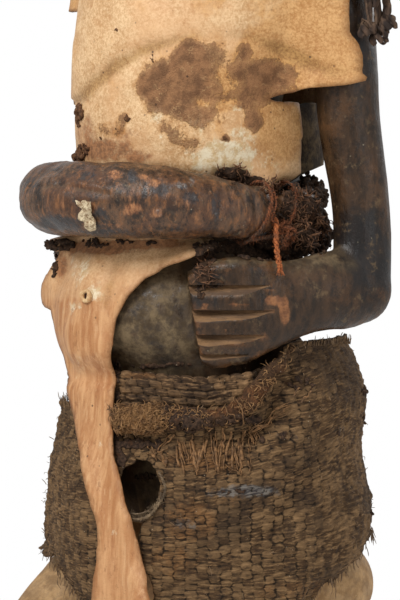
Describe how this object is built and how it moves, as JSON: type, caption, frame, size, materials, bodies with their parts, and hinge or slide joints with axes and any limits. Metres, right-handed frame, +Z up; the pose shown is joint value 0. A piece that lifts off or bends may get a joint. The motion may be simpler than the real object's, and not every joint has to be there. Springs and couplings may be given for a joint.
{
  "type": "songye power figure",
  "caption": "Standing carved wooden power figure on a round base, hands on its belly, wrapped in stiff hide with a stuffed hide tube belt, a plaited waist band and a coarse woven skirt.",
  "frame": {"origin": "centre of the flat underside of the round base", "axes": "+Z up along the figure, -Y the way the figure faces, +X towards the figure's own left"},
  "size_m": [0.2731, 0.2346, 0.8989],
  "materials": {
    "wood_patina": "dark, oily, handled patina with dust",
    "rawhide": "stiff pale rawhide, brown stains",
    "stuffed_hide": "dark handled hide, satin, with worn orange patches",
    "red_cord": "matt twisted plant fibre",
    "plaited_fibre": "matt plaited raffia, dusty",
    "woven_fibre": "matt coarse woven raffia, worn and torn",
    "dried_skin": "dry, shrivelled"
  },
  "bodies": {
    "root": {"figure": "wood_patina", "hide_wrap": "rawhide", "belt_tube": "stuffed_hide", "tie_cord": "red_cord", "tie_cord_tail": "red_cord", "waist_band": "plaited_fibre", "skirt": "woven_fibre", "skin_bundle": "dried_skin"}
  },
  "joints": []
}
